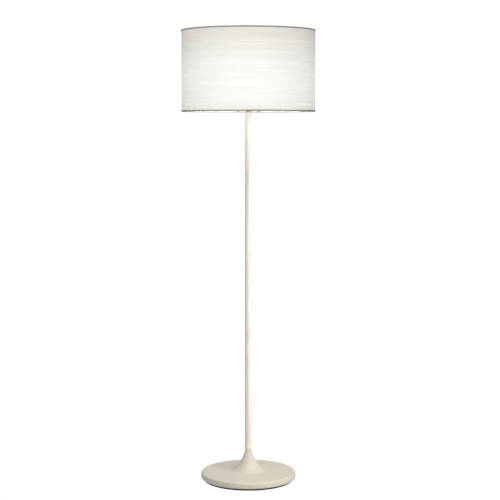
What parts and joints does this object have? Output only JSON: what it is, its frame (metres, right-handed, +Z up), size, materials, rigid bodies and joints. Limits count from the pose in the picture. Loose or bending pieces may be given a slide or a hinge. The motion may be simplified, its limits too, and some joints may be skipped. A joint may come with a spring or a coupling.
{
  "type": "floor lamp",
  "caption": "Floor lamp with a trumpet base, a slim screwed pole and a ribbed paper drum shade on a harp; the socket has a turn-knob switch and holds a screw-in bulb.",
  "frame": {"origin": "on the floor, under the pole's axis, at the middle of the foot ring", "axes": "+Z up along the pole; -Y is the front, where the switch knob points; the supply lead enters at the back, +Y"},
  "size_m": [0.4485, 0.4486, 1.524],
  "materials": {
    "cream_enamel": "satin off-white enamel",
    "cast_iron": "as cast, lightly oiled",
    "zinc_steel": "zinc plated",
    "black_plate": "black stoved sheet steel",
    "black_foam": "matt closed-cell foam",
    "black_nylon": "fine textured",
    "white_nylon": "moulded, satin",
    "phenolic": "moulded, semi-gloss",
    "nickel": "nickel plated, satin",
    "card": "pressed insulating card",
    "brass": "turned, bright",
    "bulb_insulator": "black vitrite glass",
    "bulb_cap_metal": "rolled thread",
    "frosted_glass": "frosted inside, lit",
    "stem_glass": "clear",
    "filament_metal": "drawn wire",
    "lead_sheath": "flexible vinyl",
    "white_wire": "white powder coat",
    "shade_liner": "translucent sheet, lit from inside",
    "ribbed_paper": "horizontally ribbed, lit from inside",
    "rim_tape": "narrow woven tape"
  },
  "bodies": {
    "root": {"base_lock_washer": "zinc_steel", "base_nut": "zinc_steel", "base_plate": "black_plate", "base_shell": "cream_enamel", "base_stem": "zinc_steel", "base_washer": "zinc_steel", "base_weight": "cast_iron", "centre_contact": "brass", "foot_ring": "black_foam", "harp_saddle": "nickel", "harp_top": "nickel", "harp_wire": "nickel", "head_nipple": "zinc_steel", "inner_lead": "lead_sheath", "lead_bush": "black_nylon", "live_terminal_screw": "zinc_steel", "lower_joint_bush": "zinc_steel", "lower_joint_stud": "zinc_steel", "lower_pole": "cream_enamel", "middle_pole": "cream_enamel", "neutral_terminal_screw": "zinc_steel", "plate_screws": "zinc_steel", "pole_cap": "cream_enamel", "pole_foot_plug": "zinc_steel", "pole_top_plug": "zinc_steel", "screw_contact": "brass", "socket_cap": "nickel", "socket_conductors": "lead_sheath", "socket_liner": "card", "socket_set_screw": "zinc_steel", "socket_shell": "nickel", "switch_block": "phenolic", "terminal_block": "white_nylon", "terminal_clamp_screws": "zinc_steel", "upper_joint_bush": "zinc_steel", "upper_joint_stud": "zinc_steel", "upper_pole": "cream_enamel"},
    "switch": {"switch_rotor": "phenolic", "switch_shaft": "zinc_steel", "switch_knob": "black_nylon"},
    "bulb_contact": {"bulb_tip": "brass"},
    "bulb": {"bulb_insulator": "bulb_insulator", "bulb_cap": "bulb_cap_metal", "bulb_globe": "frosted_glass", "bulb_stem": "stem_glass", "filament_wires": "filament_metal", "filament": "filament_metal"},
    "shade": {"spider_hub": "white_wire", "spider_arms": "white_wire", "shade_bottom_ring": "white_wire", "shade_top_ring": "white_wire", "shade_liner": "shade_liner", "shade_paper": "ribbed_paper", "shade_bottom_tape": "rim_tape", "shade_top_tape": "rim_tape"},
    "finial_insert": {"finial_insert": "brass"},
    "finial": {"finial": "cream_enamel"},
    "sleeve_left": {"harp_sleeve_left": "nickel"},
    "sleeve_right": {"harp_sleeve_right": "nickel"}
  },
  "joints": [
    {"name": "switch_turn", "type": "hinge", "parent": "root", "child": "switch", "pos_m": [0, 0, 1.2815], "axis": [0, -1, 0], "continuous": true},
    {"name": "shade_turn", "type": "hinge", "parent": "root", "child": "shade", "pos_m": [0, 0, 1.5], "axis": [0, 0, 1], "continuous": true},
    {"name": "bulb_rise", "type": "slide", "parent": "root", "child": "bulb_contact", "axis": [0, 0, 1], "range_m": [0, 0.01816]},
    {"name": "bulb_turn", "type": "hinge", "parent": "bulb_contact", "child": "bulb", "pos_m": [0, 0, 1.3], "axis": [0, 0, 1], "range_deg": [0, 1800]},
    {"name": "finial_rise", "type": "slide", "parent": "root", "child": "finial_insert", "axis": [0, 0, 1], "range_m": [0, 0.0066]},
    {"name": "finial_turn", "type": "hinge", "parent": "finial_insert", "child": "finial", "pos_m": [0, 0, 1.51], "axis": [0, 0, 1], "range_deg": [0, 2520]},
    {"name": "sleeve_left_lift", "type": "slide", "parent": "root", "child": "sleeve_left", "axis": [0, 0, 1], "range_m": [0, 0.018]},
    {"name": "sleeve_right_lift", "type": "slide", "parent": "root", "child": "sleeve_right", "axis": [0, 0, 1], "range_m": [0, 0.018]}
  ],
  "couplings": [
    {"joint": "bulb_rise", "follows": "bulb_turn", "m_per_rad": 0.00057757},
    {"joint": "finial_rise", "follows": "finial_turn", "m_per_rad": 0.00014972}
  ]
}
